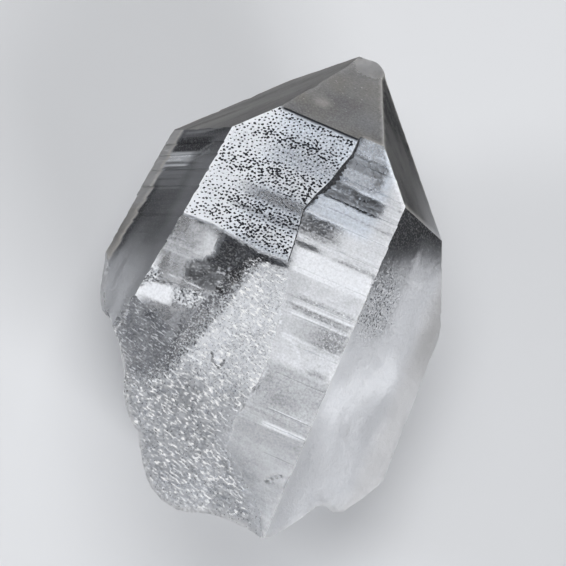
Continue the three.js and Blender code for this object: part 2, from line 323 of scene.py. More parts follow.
def cut_edges(form, regions):
    """Points along every edge, so that both faces at an edge use the same ones."""
    points = [np.array(vertex.co) for vertex in form.verts]
    along = {}
    for edge in form.edges:
        first, last = edge.verts
        direction = last.co - first.co
        length = direction.length
        steps = 1
        for face in edge.link_faces:
            across, lengthwise = SPACING[regions[face.index]]
            share = abs(direction.y) / max(length, 1e-9)
            steps = max(steps, math.ceil(length / mix(across, lengthwise, share) - 0.3))
        row = [first.index]
        for step in range(1, steps):
            row.append(len(points))
            points.append(np.array(first.co.lerp(last.co, step / steps)))
        row.append(last.index)
        along[edge.index] = row
    return points, along


def slope_the_step(form, regions, points, along):
    """Moves the foot of the layer's right side outwards, which turns the side into a slope."""
    moves = {}
    for face in form.faces:
        kind = regions[face.index]
        if kind != RIM and (kind != STEP or face.normal.x < 0.5):
            continue
        for edge in face.edges:
            if max(vertex.co.z for vertex in edge.verts) > FRONT_HEIGHT + 0.1:
                continue
            for i in along[edge.index]:
                moves.setdefault(i, []).append((kind, np.array(face.normal)))
    for i, found in moves.items():
        heights, widths = np.array(SLOPE_WIDTHS[::-1]).T
        rough = noise(points[i][None] * 1.3, 17)[0] + 1.1 * noise(points[i][None] * 3.1, 18)[0]
        is_side = any(kind == STEP for kind, _ in found)
        width = np.interp(points[i][1], heights, widths) if is_side else RIM_WIDTH
        outwards = np.mean([normal for _, normal in found], axis=0)
        points[i] = points[i] + width * (1 + 0.5 * rough) * outwards * (1, 1, 0)


def ring_of(face, along):
    ring = []
    for loop in face.loops:
        row = along[loop.edge.index]
        if row[0] != loop.vert.index:
            row = row[::-1]
        ring.extend(row[:-1])
    return ring


def fill(face, ring, points, spacing, pits=(), row=()):
    """Triangles that fill a face between its ring and a grid of new points inside it, to which
    the pits and a row of places come. Also gives the new points that are the floor of a pit."""
    normal = np.array(face.normal)
    across = np.cross((0, 1, 0), normal)
    if np.linalg.norm(across) < 0.1:
        across = np.cross((1, 0, 0), normal)
    across /= np.linalg.norm(across)
    lengthwise = np.cross(normal, across)
    corners = np.array([points[i] for i in ring])
    origin = corners[0]
    step = spacing[0]
    stretch = (1, step / spacing[1])
    flat = np.column_stack(((corners - origin) @ across, (corners - origin) @ lengthwise)) * stretch
    low, high = flat.min(0), flat.max(0)
    columns, rows = np.meshgrid(*(np.arange(low[i] + step / 2, high[i], step) for i in (0, 1)))
    grid = np.column_stack((columns.ravel(), rows.ravel()))
    grid = grid[depth_in(flat, *grid.T) > EDGE_MARGIN * step]

    def flat_places(places):
        """Places on the front face as places on this flat one, and how far inside it they lie."""
        places = (np.reshape(places, (-1, 2)) - origin[:2]) * stretch
        return zip(places, depth_in(flat, *places.T))

    def far_from(place, reach):
        return np.hypot(*((grid - place) / stretch).T) > reach

    for place, depth in flat_places(row):
        if depth > TOP_LINE_STEP / 3:
            grid = np.vstack((grid[far_from(place, TOP_LINE_STEP / 2)], place))
    floor = np.zeros(len(grid), bool)
    in_pit = np.zeros(len(grid), bool)
    for (middle, depth), pit in zip(flat_places([pit[:2] for pit in pits]), pits):
        x, y, length, width, angle = pit
        if depth < 1.15 * length:
            continue
        cos, sin = math.cos(angle), math.sin(angle)
        ring_angles = np.arange(PIT_CORNERS) / PIT_CORNERS * 2 * math.pi + x
        uneven = 1 + 0.25 * np.sin(3.1 * ring_angles + 9 * y)
        circle = np.column_stack((length * np.cos(ring_angles), width * np.sin(ring_angles)))
        circle *= uneven[:, None]
        shape = np.vstack((circle, circle[::2] * PIT_FLOOR)) @ ((cos, sin), (-sin, cos)) * stretch
        kept = far_from(middle, 1.5 * length) | in_pit
        grid = np.vstack((grid[kept], middle + shape))
        floor = np.concatenate((floor[kept], np.arange(len(shape)) >= PIT_CORNERS))
        in_pit = np.concatenate((in_pit[kept], np.ones(len(shape), bool)))
    together = [Vector(point) for point in (*flat, *grid)]
    edges = [(i, (i + 1) % len(ring)) for i in range(len(ring))]
    placed, _, triangles, origins, _, _ = delaunay_2d_cdt(together, edges, [], CDT_INSIDE_ONLY, CDT_TOLERANCE)
    ids, floors = [], []
    for place, source in zip(placed, origins):
        if source and source[0] < len(ring):
            ids.append(ring[source[0]])
            continue
        if source and floor[source[0] - len(ring)]:
            floors.append(len(points))
        ids.append(len(points))
        points.append(origin + place[0] * across + place[1] / stretch[1] * lengthwise)
    return [[ids[i] for i in triangle] for triangle in triangles], floors


def crowding(x, y):
    """How crowded the layer's pits are at a place, from 0 to 1."""
    crowd = 0.66
    crowd += 0.45 * between(y, 11.0, 14.9, 0.7)
    crowd += 0.4 * between(y, 2.6, 5.6, 0.6)
    crowd += 0.35 * between(y, 6.3, 8.2, 0.4)
    crowd += 0.35 * between(y, 17.8, 20.0, 0.6) * between(x, -12, 3.5, 1.5)
    crowd += 0.5 * between(y, 22.0, 23.7, 0.3) * smooth(-11, -8, x)
    crowd -= 0.55 * between(y, 8.8, 10.4, 0.4) * smooth(-11, -8, x)
    crowd -= 0.2 * between(y, 15.4, 17.4, 0.5) * smooth(-12, -9, x)
    crowd -= 0.2 * between(y, 20.6, 21.8, 0.4) * smooth(-9, -6, x)
    return np.clip(crowd * mix(0.6, 1, smooth(-16.5, -10, x)), 0, 1)


def scattered_pits(layer_top):
    """Places, half lengths, half widths and angles of the layer's pits, clear of its top line."""
    chance = np.random.default_rng(5)
    places = np.empty((0, 2))
    pits = []
    for _ in range(PIT_TRIES):
        x, y = (chance.uniform(*span) for span in PIT_FIELD)
        crowd = crowding(x, y) * chance.uniform(0.88, 1.12)
        if len(places) and np.hypot(*(places - (x, y)).T).min() < mix(*PIT_GAPS, crowd):
            continue
        places = np.vstack((places, (x, y)))
        length = mix(*PIT_LENGTHS, min(crowd, 1)) * chance.uniform(0.7, 1.3)
        if x > TOP_LINE[0] and y > layer_top - TOP_LINE_WIDTH - 1.5 * length:
            continue
        width = length * PIT_ROUNDNESS * chance.uniform(0.8, 1.3)
        pits.append((x, y, length, width, math.radians(chance.normal(*PIT_TURNS))))
    return pits


def fine_surface(node):
    """Points in millimetres, triangles, for each triangle its region and its face's normal, and
    the numbers of the points on sharp edges and on the floor of a pit."""
    form = welded_form(node)
    regions = [region_of(face) for face in form.faces]
    points, along = cut_edges(form, regions)
    slope_the_step(form, regions, points, along)
    sharp = set()
    for edge in form.edges:
        kinds = {regions[face.index] for face in edge.link_faces}
        rough = len(kinds) == 1 and kinds <= {ETCHED, BREAK, RIGHT} or kinds == {FRONT, ETCHED}
        rough |= kinds == {LEFT} and edge.verts[0].co.y < EVEN_BELOW
        if not rough and math.degrees(edge.calc_face_angle()) > CREASE_ANGLE:
            sharp.update(along[edge.index])
    layer = [face for face in form.faces if regions[face.index] == LAYER]
    layer_top = max(vertex.co.y for face in layer for vertex in face.verts)
    pits = scattered_pits(layer_top)
    row = [(x, layer_top - TOP_LINE_WIDTH) for x in np.arange(*TOP_LINE, TOP_LINE_STEP)]
    triangles, kinds, normals, floors = [], [], [], []
    for face in form.faces:
        kind = regions[face.index]
        extra = (pits, row) if kind == LAYER else ()
        made, sunk = fill(face, ring_of(face, along), points, SPACING[kind], *extra)
        triangles.extend(made)
        floors.extend(sunk)
        kinds.extend([kind] * len(made))
        normals.extend([tuple(face.normal)] * len(made))
    form.free()
    used, triangles = np.unique(triangles, return_inverse=True)
    points = np.array(points)[used]
    sharp, floors = (np.flatnonzero(np.isin(used, list(group))) for group in (sharp, floors))
    return points, triangles.reshape(-1, 3), np.array(kinds), np.array(normals), sharp, floors


# Relief

def grooves(y, across, seed, count, span, depth):
    """Shallow growth grooves that run across a face, each over a part of its width."""
    chance = np.random.default_rng(seed)
    total = np.zeros(len(y))
    for _ in range(count):
        middle = chance.uniform(*span)
        half = chance.uniform(0.16, 0.55)
        start = chance.uniform(-24, 12)
        width = chance.uniform(5, 26)
        t = np.clip((y - middle) / half, -1, 1)
        profile = depth * chance.uniform(0.25, 1) * (1 - t * t) ** 2
        total -= profile * between(across, start, start + width, 1.0)
    return total


def dashes(points, angle, length, width, seed):
    """Ridges like short brush strokes on the front face, from 0 to 1."""
    turn = math.radians(angle)
    run = points[:, 0] * math.cos(turn) + points[:, 1] * math.sin(turn)
    rise = points[:, 1] * math.cos(turn) - points[:, 0] * math.sin(turn)
    return 1 - np.abs(cloud(np.column_stack((run / length, rise / width, points[:, 2] / 4)), 1.0, seed, 2))


def valley_share(x, y):
    """1 in the smooth valley left of the groove."""
    return smooth(-0.3, 0.9, left_of(GROOVE, x, y)) * smooth(-27, -20, y - 0.35 * (x + 12))


def window_share(points):
    """1 in the dark clear window under the layer, with an uneven border on its left."""
    x, y, _ = points.T
    uneven = smooth(-6, -9, x)
    across = x + (0.7 * cloud(points, 1.6, 31) - 0.3) * uneven
    along = y + 0.5 * cloud(points, 1.3, 33) * smooth(0.5, -1, y)
    return patch(WINDOW, across, along, 0.25) * smooth(2.6, 2.2, y)


def hollow_depth(points):
    """Depth of the hollow in the window, whose floor rises down the face."""
    rise = np.clip((points[:, 1] - WINDOW[0][1] + HOLLOW_LENGTH) / HOLLOW_LENGTH, 0, 1)
    return HOLLOW_DEPTH * rise * window_share(points)


def front_lines(y):
    """How strongly the front face is ruled with growth lines, along the crystal."""
    strength = 0.1 + 0.9 * between(y, 12.6, 16.4, 0.5) + 0.45 * between(y, 4.2, 12.0, 0.6)
    return strength + 0.6 * between(y, -5.8, -2.0, 0.6) + 0.35 * between(y, -23.4, -18.8, 0.6)


def relief_of(kind, points, across):
    x, y, _ = points.T
    if kind == LAYER:
        return 0.02 * cloud(points, 1.4, 3) - 0.02
    if kind in (STEP, RIM):
        return 0.06 * cloud(points, 0.7, 13) - 0.03
    if kind == FRONT:
        fine = grooves(y, across, 21, 110, (-38, 24), 0.07) * front_lines(y)
        hollow = hollow_depth(points)
        chips = 0.4 * smooth(0, 0.6, hollow) * cloud(points, 1.3, 43)
        return fine - 0.03 + 0.03 * cloud(points, (2.2, 1.1, 3.0), 5) - hollow + chips
    if kind == ETCHED:
        large = dashes(points, -14, 1.9, 0.8, 41)
        small = dashes(points, -12, 0.9, 0.5, 45)
        strength = mix(1, 0.12, valley_share(x, y)) * mix(0.6, 1, smooth(-8, -20, y))
        strength *= smooth(0.2, 2.0, np.minimum(left_of(ETCH_EDGE, x, y), ETCH_EDGE[0][1] - y))
        return (0.55 * (large - 0.9) + 0.4 * (small - 0.9)) * strength
    if kind == LEFT:
        return grooves(y, across, 23, 60, (-2, 20), 0.07) - 0.01
    if kind == RIGHT:
        silk = cloud(points, (0.9, 2.2, 0.9), 63)
        return 0.06 * cloud(points, 5.0, 61) + 0.05 * silk - 0.1
    if kind in (BACK_SIDE, BACK):
        return grooves(y, across, 27 + kind, 70, (-30, 16), 0.09) + 0.03 * cloud(points, 4.0, 71) - 0.03
    if kind in (TIP_FRONT, TIP_SIDE, TIP_BACK):
        return 0.03 * cloud(points, 5.0, 81) - 0.03
    return 0.34 * cloud(points, 5.0, 91) + 0.12 * cloud(points, 1.3, 95) - 0.1


def smoothed(points, triangles, loose, rounds):
    """Evens out the points named by loose, and leaves the rest where they are."""
    ends = np.vstack((triangles[:, [0, 1]], triangles[:, [1, 2]], triangles[:, [2, 0]]))
    here, there = np.vstack((ends, ends[:, ::-1])).T
    count = np.bincount(here, minlength=len(points))[:, None]
    for _ in range(rounds):
        total = np.column_stack([np.bincount(here, row[there], len(points)) for row in points.T])
        points = np.where(loose[:, None], total / count, points)
    return points


def touched(triangles, chosen):
    """Which points belong to one of the chosen triangles."""
    is_touched = np.zeros(triangles.max() + 1, bool)
    is_touched[triangles[chosen]] = True
    return is_touched


def gap_to(points, chosen):
    """Distance from each point to the nearest of the chosen points."""
    tree = kdtree.KDTree(len(chosen))
    for i in chosen:
        tree.insert(points[i], int(i))
    tree.balance()
    return np.array([tree.find(point)[2] for point in points])


def with_lower_steps(points, of_kind, border_gap):
    """Brings the growth steps on the front and left faces closer to the faces' planes."""
    points = points.copy()
    x, y, z = points.T
    plain = of_kind[FRONT] & ~of_kind[STEP] & ~of_kind[RIM] & ~of_kind[ETCHED]
    on_plateau = (x < PLATEAU_CORNER[0]) & (y < PLATEAU_CORNER[1])
    share = np.where(x > STEPS_FROM, STEP_LIFT, np.where(on_plateau, PLATEAU_LIFT, 0))
    lift = plain * share * (FRONT_HEIGHT - z)
    lift *= np.where(x > STEPS_FROM, smooth(0, BORDER_FADE, border_gap), 1)
    z += lift
    x += (of_kind[LEFT] * 1.0 - of_kind[RIGHT] * 1.0) * lift / math.tan(math.radians(SIDE_ANGLE))
    depth = LEFT_OFFSET - points @ LEFT_NORMAL
    in_step = of_kind[LEFT] & (depth > 0) & (depth < 1) & (y > EVEN_BELOW)
    x -= in_step * depth * mix(0.4, 0.95, smooth(2, 5, across_side(points, 1))) / abs(LEFT_NORMAL[0])
    return points


def shaped(points, triangles, kinds, normals, sharp, floors):
    """The fine surface with its relief, its pits and its rubbed-down edges."""
    is_sharp = np.zeros(len(points), bool)
    is_sharp[sharp] = True
    of_kind = {kind: touched(triangles, kinds == kind) for kind in range(REGION_COUNT)}

    def only(*chosen):
        return ~np.any([of_kind[kind] for kind in of_kind if kind not in chosen], axis=0)

    rough = (of_kind[ETCHED] | of_kind[BREAK]) & only(ETCHED, BREAK, FRONT)
    points = smoothed(points, triangles, ~is_sharp & rough, ROUGH_ROUNDS)
    around = np.degrees(np.arctan2(normals[:, 0], normals[:, 2]))
    off_side = touched(triangles, np.abs(np.abs(around) - SIDE_ANGLE) > SIDE_SPREAD)
    even = only(RIGHT) | only(LEFT) & (points[:, 1] < EVEN_BELOW)
    points = smoothed(points, triangles, ~is_sharp & even & ~off_side, EVEN_ROUNDS)
    border_gap = gap_to(points, np.flatnonzero(of_kind[FRONT] & of_kind[ETCHED]))
    blended = ~is_sharp & only(FRONT, ETCHED) & (border_gap < BLEND_WIDTH)
    points = smoothed(points, triangles, blended, BLEND_ROUNDS)
    points = with_lower_steps(points, of_kind, border_gap)
    points = smoothed(points, triangles, blended, BLEND_ROUNDS)
    outward = np.zeros_like(points)
    move = np.zeros(len(points))
    for kind in range(REGION_COUNT):
        chosen = np.unique(triangles[kinds == kind])
        facing = np.zeros_like(points)
        for corner in range(3):
            np.add.at(facing, triangles[kinds == kind][:, corner], normals[kinds == kind])
        facing = facing[chosen]
        facing /= np.linalg.norm(facing, axis=1)[:, None] + 1e-9
        across = points[chosen, 0] * facing[:, 2] - points[chosen, 2] * facing[:, 0]
        outward[chosen] += facing
        move[chosen] = relief_of(kind, points[chosen], across)
    outward /= np.linalg.norm(outward, axis=1)[:, None] + 1e-9
    wear = WEAR + WEAR_UNEVEN * np.maximum(0, noise(points / 0.8, 7))
    wear += WEAR_NICKS * smooth(0.5, 0.9, noise(points / 2.1, 8))
    move = np.where(is_sharp, -wear, move * smooth(0, RELIEF_FADE, gap_to(points, sharp)))
    move[floors] = -PIT_DEPTH
    formed = points + outward * move[:, None]
    x, y, _ = formed.T
    y += APEX_FILL * between(x, *APEX_SPAN, 0.9) * smooth(*APEX_FADE, y)
    formed[:, 1] = np.minimum(y, APEX_TOP)
    return formed


# Looks

# Bands on the front face right of the layer: low, high, from, to, how softly they end along
# and across, how milky and how dark they are; the dark is painted shade.
FRONT_BANDS = [
    (21, 24.6, 2.8, 10, 0.1, 0.8, 0.34, 0.12),
    (18.6, 20.8, 3, 9.3, 0.3, 0.5, 0.2, 0.25),
    (16.2, 18.6, 2.4, 9.7, 0.25, 0.6, 0.36, 0.1),
    (20.75, 21.1, 3.4, 9.6, 0.16, 0.8, 0.1, 0.45),
    (17.6, 20.4, 8.6, 9.9, 0.9, 0.5, 0.14, 0.3),
    (14.9, 16.1, 2.9, 6.4, 0.25, 1.2, 0.08, 0.56),
    (14.3, 15.7, 5.8, 10.9, 0.2, 0.8, 0.03, 0.85),
    (13.6, 14.7, 1.9, 10.9, 0.15, 0.7, 0.18, 0.32),
    (14.15, 14.3, 4, 11, 0.05, 0.7, 0.05, 0.6),
    (13.25, 13.55, 1.6, 11, 0.06, 0.9, 0, 1),
    (11.6, 11.8, 3, 14.8, 0.06, 1, 0.34, 0.1),
    (7.2, 9.8, 0.6, 6.6, 0.06, 2.2, 0.1, 0.45),
    (6.5, 7.2, 0.6, 7, 0.12, 1.6, 0.34, 0.1),
    (4.6, 5.35, 0.9, 5, 0.12, 1.2, 0.12, 0.4),
    (4.6, 5.2, 8.5, 14.8, 0.15, 1.2, 0.42, 0.1),
    (-2.9, -2.2, 5, 14, 0.15, 1.5, 0.45, 0.1),
    (-4.7, -3.8, 4.2, 14, 0.12, 1, 0.38, 0.1),
    (-8.3, -5.6, 6.6, 15, 0.3, 3, 0.5, 0),
    (-8.8, -5.2, 10.6, 15, 0.9, 1.8, 0.4, 0.12),
    (-12.9, -12.2, 10.8, 14.2, 0.4, 0.8, 0.4, 0.1),
    (-22, -13.2, 4, 16, 0.8, 0.8, 0.42, 0),
    (-38, -22, 4, 16, 0.8, 0.8, 0.41, 0),
]
# Thin pale lines across the front face, painted glints along growth lines: height, from, to.
PALE_LINES = [
    (21.9, 4, 9), (9.85, 0.8, 14.8), (5.9, 0.9, 9.5), (1.4, 3, 9.5), (0.95, 3, 9),
    (-3.45, 4.4, 14.8), (-5.2, 4.4, 14.6), (-8.7, 4.6, 15), (-19.8, 8.2, 15), (-22.3, 7.6, 14),
    (-22, 8.6, 15), (-22.6, 8, 13.5),
]
# Bands on the left face in the same way, where across runs towards the front face; their dark is painted
# shade too.
LEFT_BANDS = [
    (15.8, 18.6, -9, -1, 0.2, 2.5, 0.1, 0.85),
    (16.4, 19, 0, 9, 1, 2.5, 0, 1),
    (13.2, 15.7, -8.8, 5, 0.15, 2, 0, 1),
    (11.3, 13.1, -9.3, 0.5, 0.15, 2.5, 0.42, 0.25),
    (12.2, 12.5, -9.3, 0, 0.12, 2, 0.75, 0.1),
    (11.6, 11.85, -9.3, 0, 0.1, 2, 0.65, 0.1),
    (11, 11.25, -9.3, 0.5, 0.08, 2, 0, 0.7),
    (10.55, 10.85, -9.3, 0.5, 0.1, 1.5, 0.7, 0.1),
    (6.9, 10.3, -9.3, 2, 0.1, 2, 0.1, 0.62),
    (9.45, 9.6, -9.3, 1, 0.08, 2, 0.3, 0.35),
    (8.65, 8.8, -9.3, 1, 0.08, 2, 0.3, 0.35),
    (7.9, 8.15, -9.3, 1, 0.08, 2, 0, 0.85),
    (6.6, 6.8, -9.3, 2, 0.12, 2, 0.3, 0.35),
    (0.9, 5.6, -8.8, -1.2, 1, 2.2, 0.06, 0.92),
]
# Slanted pale lines on the left face, [across, y].
LEFT_RAYS = [
    [(-2.5, 11.2), (1.6, 12.6), (5.4, 14.6)],
    [(-1, 11), (2.5, 12), (5.8, 13.4)],
    [(-6.9, 16.6), (0.1, 16.8), (8.5, 17.8)],
]
# The inner side of the left face's outer strip, [y, across].
LEFT_STRIP = [(-12, -9.9), (-6, -9.5), (4, -8.5), (16, -8.6)]
# The milky streak and the white crest on the right face, [across, y].
RIGHT_STREAK = [(0.2, 10.6), (1.6, 8.4), (3.2, 4.2), (2.6, 0.5), (1, -3)]
RIGHT_CREST = [(4.5, -6.5), (-1.5, -11.5), (-5, -15.5)]
# Marks on the front face: their line, half their width, how milky and how dark they are.
MARKS = [
    ([(-6.4, -4.2), (-5.9, -3.6), (-5.5, -2.4), (-5.3, -1.9)], 0.09, 1, 0),
    ([(-7.4, -4.1), (-6.6, -4)], 0.08, 0.9, 0),
    ([(-6.25, -29.5), (-6.1, -29.9)], 0.16, 0.9, 1),
    ([(12.1, -30.4), (12.9, -29.3), (13.9, -28.4)], 0.1, 0.7, 0.75),
    ([(12.6, -30.1), (14.2, -29.6)], 0.07, 0.7, 0.5),
    ([(-3.3, -15.6), (-2.6, -16.8), (-1.5, -17.4), (-1.1, -15.8)], 0.12, 0.3, 0.7),
    ([(-2.4, -15.9), (-1.8, -16.5)], 0.3, 1, 0),
    ([(4.7, -14.4), (4.5, -16.6), (4.2, -19), (3.7, -21.6)], 0.08, 0.4, 0.42),
    ([(5.1, -14.2), (5, -16), (4.7, -18.4)], 0.07, 0.4, 0.25),
    ([(4.9, -14.2), (4.7, -16.6), (4.4, -19)], 0.05, 0.7, 0),
    ([(3, -5.8), (3.6, -6.6), (4, -7.4)], 0.08, 1, 0),
    ([(-15.5, -7.6), (-12.3, -7.3), (-8.3, -7.5)], 0.045, 0.75, 0),
    ([(-17.3, -10), (-16.1, -9.1), (-14.6, -8.9), (-12.8, -8.5)], 0.07, 0.3, 0.8),
    ([(-17.9, -9.1), (-17.2, -9.9), (-17.4, -10.8)], 0.07, 0.3, 0.7),
    ([(5.1, -8.9), (7.2, -9.3), (9, -10.8), (9.3, -12.3)], 0.1, 0.85, 0),
]


# What each look function gives: haze from clear to milky, frost for roughness, shade towards
# dark (painted shade where clear quartz, pits and steps look dark; it also darkens some marks),
# tint from warm (below 0) to cool, and how strong lines, grain and strokes are.
LOOKS = ("haze", "frost", "shade", "tint", "lines", "grain", "strokes")
# How milky and how much less dark the tip's right ridges are made: a painted highlight.
PAINTED_HIGHLIGHT_HAZE = 0.55
PAINTED_HIGHLIGHT_SHADE = 0.5


def banded(haze, shade, bands, y, across, uneven=0):
    for low, high, start, end, soft_y, soft_x, milk, dark in bands:
        share = between(y, low, high, soft_y) * between(across, start, end, soft_x)
        haze, shade = mix(haze, milk, share), mix(shade, dark * (1 + 0.4 * uneven), share)
    return haze, shade


def marked(haze, shade, x, y):
    rough = 1 + 0.5 * noise(np.column_stack((x, y, 0 * x)) * 2.3, 19)
    for line, half_width, milk, dark in MARKS:
        share = smooth(half_width * 1.7, half_width * 0.6, distance_to(line, x, y) * rough)
        haze, shade = mix(haze, milk, share), mix(shade, dark, share)
    return haze, shade


def front_haze(points):
    """haze and shade on the front face, also under the etched part."""
    x, y, _ = points.T
    haze, shade = 0.6 + 0.1 * smooth(11.5, 9.5, y) * smooth(4, 7, x), 0
    uneven = cloud(points, (1.6, 0.7, 9), 105)
    height = y + 0.16 * uneven
    reach = x + 0.9 * cloud(points, (3, 0.6, 9), 107)
    haze, shade = banded(haze, shade, FRONT_BANDS, height, reach, uneven)
    haze = mix(haze, 0.86, between(height, 0.8, 4.4, 0.15) * between(reach, 2.4, 15.5, 0.6))
    haze += 0.13 * cloud(points, (4.5, 2.6, 9), 109) * smooth(6, -1, y)
    for line_height, start, end in PALE_LINES:
        line = between(y + 0.05 * uneven, line_height - 0.09, line_height + 0.09, 0.07)
        haze = mix(haze, 1, 0.8 * line * between(reach, start, end, 1.2))
    # A pale line beside the tip's right edge: painted highlight.
    edge = smooth(0.55, 0.15, distance_to(TIP_EDGE, x, y))
    haze, shade = mix(haze, 1, edge), mix(shade, 0, edge)
    # Left of the groove, down to the smooth valley.
    left = smooth(-0.2, 1.4, left_of(GROOVE, x, y)) * smooth(3, 2.4, y)
    haze = mix(haze, 0.26 + 0.34 * cloud(points, (2.2, 3, 9), 111), left)
    light = smooth(1.5, 0.4, np.abs(x + 10.4 + 0.25 * y)) * between(y, -3, 1, 0.8)
    haze = mix(haze, 0.72, 0.7 * left * light)
    haze = mix(haze, valley_haze(points), left * smooth(-11.8, -13.4, y + 0.5 * cloud(points, 1.6, 129)))
    rim = smooth(-15.4, -17, x + 0.8 * cloud(points, 1.2, 127)) * between(y, -16, -5.5, 1.2)
    haze = mix(haze, 0.95, 0.8 * rim)
    # The window, painted dark as shade, the bright rectangle, a painted reflection, and the grainy places.
    window = window_share(points)
    away = smooth(1, 3, np.hypot(x + 7.5, y - 0.5))
    inner = smooth(0, 0.8, cloud(points, (2, 2.2, 9), 113)) * away
    patchy = 0.6 + 0.9 * cloud(points, (1.1, 1.1, 9), 116)
    inner = np.maximum(inner, smooth(-2.5, -5, y) * np.clip(patchy, 0, 1))
    haze = mix(haze, 0.02 + 0.34 * inner, window)
    haze, granules = with_grains(haze, x, y)
    blotch = smooth(1, 0.2, np.hypot(x + 13, (y - 2.1) * 1.4) + 0.3 * cloud(points, 0.9, 119))
    # The window's dark is painted shade: the dark seen through clear quartz.
    shade = mix(shade, 0.95 * (1 - 0.6 * inner), window) + 0.6 * blotch
    shade = mix(shade, 0.3, granules)
    # The shadow at the foot of the layer's right side.
    foot = distance_to(LAYER_FOOT, x, y) + 0.35 * cloud(points, 0.7, 115)
    shade = np.maximum(shade, 0.9 * smooth(0.6, 0.3, foot) * smooth(9.8, 11, y))
    return marked(haze, shade, x, y)


def valley_haze(points):
    return 0.2 + 0.14 * cloud(points, 2, 123)


def granular_share(x, y):
    """1 where bright grains cover the front face."""
    return np.maximum(patch(SPARKLE_PATCH, x, y, 0.45), patch(GRAINY_PATCH, x, y, 0.35))


def with_grains(haze, x, y):
    """haze with the bright rectangle's painted reflection and the grainy places, and where the grains are."""
    granules = granular_share(x, y)
    return mix(mix(haze, 0.9, patch(PAINTED_REFLECTION_PATCH, x, y, 0.2)), 0.55, granules), granules


def etched_look(points):
    x, y, _ = points.T
    haze, shade = front_haze(points)
    low = smooth(-15.5, -23.5, y)
    etched = mix(0.66, 0.35, low) + 0.14 * cloud(points, 4, 121)
    valley = valley_share(x, y)
    etched = mix(etched, valley_haze(points), valley)
    haze = np.where(y > 0.6, haze, etched)
    haze, granules = with_grains(haze, x, y)
    off = left_of(GROOVE, x, y) + 0.3 * cloud(points, 0.9, 125)
    groove = smooth(-1, -0.5, off) * smooth(2.6, 1.3, off) * between(y, -22, 0, 3) * (1 - granules)
    haze = mix(haze, 0.3, 0.8 * groove)
    haze, shade = marked(haze, shade + 0.16 * groove + 0.12 * valley + 0.3 * granules, x, y)
    border = smooth(2.6, 0.3, left_of(ETCH_EDGE, x, y)) * smooth(-18, -24, y)
    haze = mix(haze, 0.43, border)
    base = smooth(0.6, 1.9, distance_to(BASE_EDGE, x, y) + 0.8 * cloud(points, 2, 124))
    strokes = mix(1, 0.25, valley) * (1 - 0.6 * groove) * (1 - 0.8 * border)
    strokes *= (1.25 + 0.7 * cloud(points, 2.6, 122)) * mix(0.2, 1, base)
    haze = mix(haze, 0.4, 0.7 * (1 - base))
    grain = mix(mix(1.5, 0.9, low), 0.6, valley) + 1.5 * groove + 2.6 * granules
    return haze, mix(0.3, 0.24, valley), shade, 0.2, 0, grain, strokes + 0.8 * granules


def left_look(points):
    y, across = points[:, 1], across_side(points, 1)
    low = smooth(1, -9, y)
    haze = mix(0.1, 0.34, low) + 0.1 * cloud(points, 4, 131)
    # The clear upper part is painted dark: painted shade.
    shade = mix(0.86, 0.42, low)
    pale = 0.75 * smooth(-5, -14, y + 0.6 * across)
    haze, shade = mix(haze, 0.52, pale), mix(shade, 0.2, pale)
    haze, shade = banded(haze, shade, LEFT_BANDS, y, across)
    for ray in LEFT_RAYS:
        share = 0.6 * smooth(0.35, 0.05, distance_to(ray, across, y))
        haze, shade = mix(haze, 0.35, share), mix(shade, 0.4, share)
    near_front = smooth(2.5, 6.5, across + 0.12 * y) * smooth(-16, -6, y) * smooth(14, 11, y)
    haze, shade = mix(haze, 0.14, 0.6 * near_front), mix(shade, 0.45, 0.6 * near_front)
    wander = 0.5 * cloud(points, (3, 6, 3), 133)
    inner = np.interp(y, *zip(*LEFT_STRIP)) + 0.25 * wander
    strip = smooth(0.3, -0.3, across - inner)
    rim = smooth(0.8, 0.1, np.abs(across - inner + 0.5)) * smooth(-7, -2, y)
    shadow = smooth(2, 0.4, np.abs(across - inner - 0.8)) * smooth(-9, -2, y) * smooth(9, 6, y)
    olive = between(y, -6, 3.5, 1)
    haze = mix(mix(haze, 0.3, strip * (1 - pale)), 0.6, rim)
    shade = mix(mix(shade, 0.42 + 0.15 * olive, strip * (1 - pale)), 0.3, rim)
    shade = mix(shade, 1, 0.85 * shadow * (1 - strip))
    haze = mix(haze, 0, 0.6 * shadow * (1 - strip))
    tint = mix(0.25, -0.4 - 0.5 * olive, strip) - 0.5 * rim
    tint -= 0.6 * smooth(-8, -13, y) * smooth(-4, -8, across)
    haze += 0.24 * cloud(points, (1.5, 8, 1.5), 135) * smooth(3, -3, y)
    frost = mix(0.12, 0.22, low) + 0.85 * shade
    return haze, frost, shade, tint, smooth(-2, 4, y), 0.5 + 0.3 * low, 0


